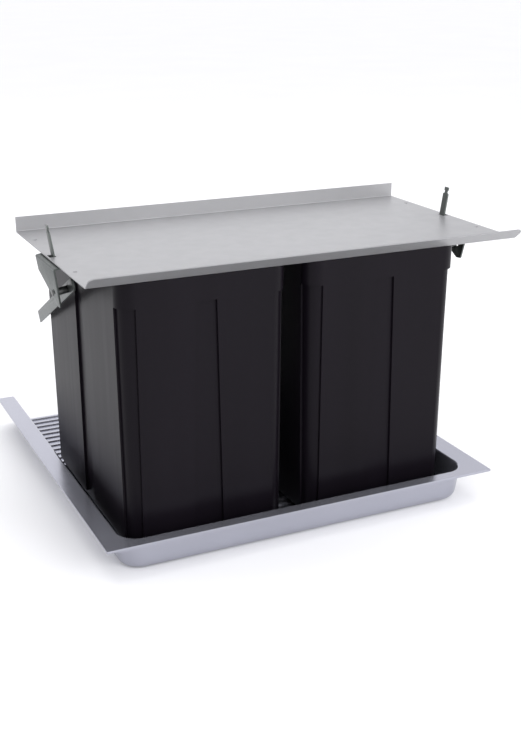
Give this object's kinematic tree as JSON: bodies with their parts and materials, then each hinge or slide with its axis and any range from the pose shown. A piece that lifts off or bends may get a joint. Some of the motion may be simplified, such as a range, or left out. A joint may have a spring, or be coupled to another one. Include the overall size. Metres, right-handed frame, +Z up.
{
  "type": "pull-out waste sorter",
  "caption": "Drawer tray with two rectangular waste bins under a sheet steel cover, with a hanging bracket and a pivoted lever at each end of the cover.",
  "frame": {"origin": "under the middle of the cover's length and of the tray's depth, on the surface that the tray stands on", "axes": "+X along the cover to the right end, +Y to the back, +Z up"},
  "size_m": [0.5752, 0.53, 0.3783],
  "materials": {
    "tray_plastic": "satin silver-grey thermoformed plastic",
    "bin_plastic": "satin black moulded polypropylene",
    "cover_steel": "silver powder-coated sheet steel",
    "zinc_steel": "zinc-plated sheet steel",
    "rivet_steel": "bright steel"
  },
  "bodies": {
    "tray": {"tray": "tray_plastic"},
    "left_bin": {"left_bin": "bin_plastic"},
    "right_bin": {"right_bin": "bin_plastic"},
    "cover": {"cover_plate": "cover_steel"},
    "left_bracket": {"left_bracket": "zinc_steel", "left_pivot_rivet": "rivet_steel", "left_pivot_spacer": "rivet_steel"},
    "right_bracket": {"right_bracket": "zinc_steel", "right_pivot_rivet": "rivet_steel", "right_pivot_spacer": "rivet_steel"},
    "left_lever": {"left_lever": "zinc_steel"},
    "right_lever": {"right_lever": "zinc_steel"}
  },
  "joints": [
    {"name": "cover_lift", "type": "slide", "parent": "tray", "child": "cover", "axis": [0, 0, 1], "range_m": [0, 0.4]},
    {"name": "left_bin_lift", "type": "slide", "parent": "tray", "child": "left_bin", "axis": [0, 0, 1], "range_m": [0, 0.37]},
    {"name": "right_bin_lift", "type": "slide", "parent": "tray", "child": "right_bin", "axis": [0, 0, 1], "range_m": [0, 0.37]},
    {"name": "left_bracket_slide", "type": "slide", "parent": "cover", "child": "left_bracket", "axis": [0.1478, 0, -0.989], "range_m": [0, 0.03]},
    {"name": "right_bracket_slide", "type": "slide", "parent": "cover", "child": "right_bracket", "axis": [-0.1478, 0, -0.989], "range_m": [0, 0.03]},
    {"name": "left_lever_swing", "type": "hinge", "parent": "left_bracket", "child": "left_lever", "pos_m": [-0.28055, -0.089, 0.30117], "axis": [0.989, 0, 0.1478], "range_deg": [0, 24]},
    {"name": "right_lever_swing", "type": "hinge", "parent": "right_bracket", "child": "right_lever", "pos_m": [0.28055, -0.089, 0.30117], "axis": [0.989, 0, -0.1478], "range_deg": [0, 24]}
  ],
  "couplings": [
    {"joint": "left_bin_lift", "follows": "cover_lift", "ratio": 0.9},
    {"joint": "right_bin_lift", "follows": "cover_lift", "ratio": 0.9}
  ]
}
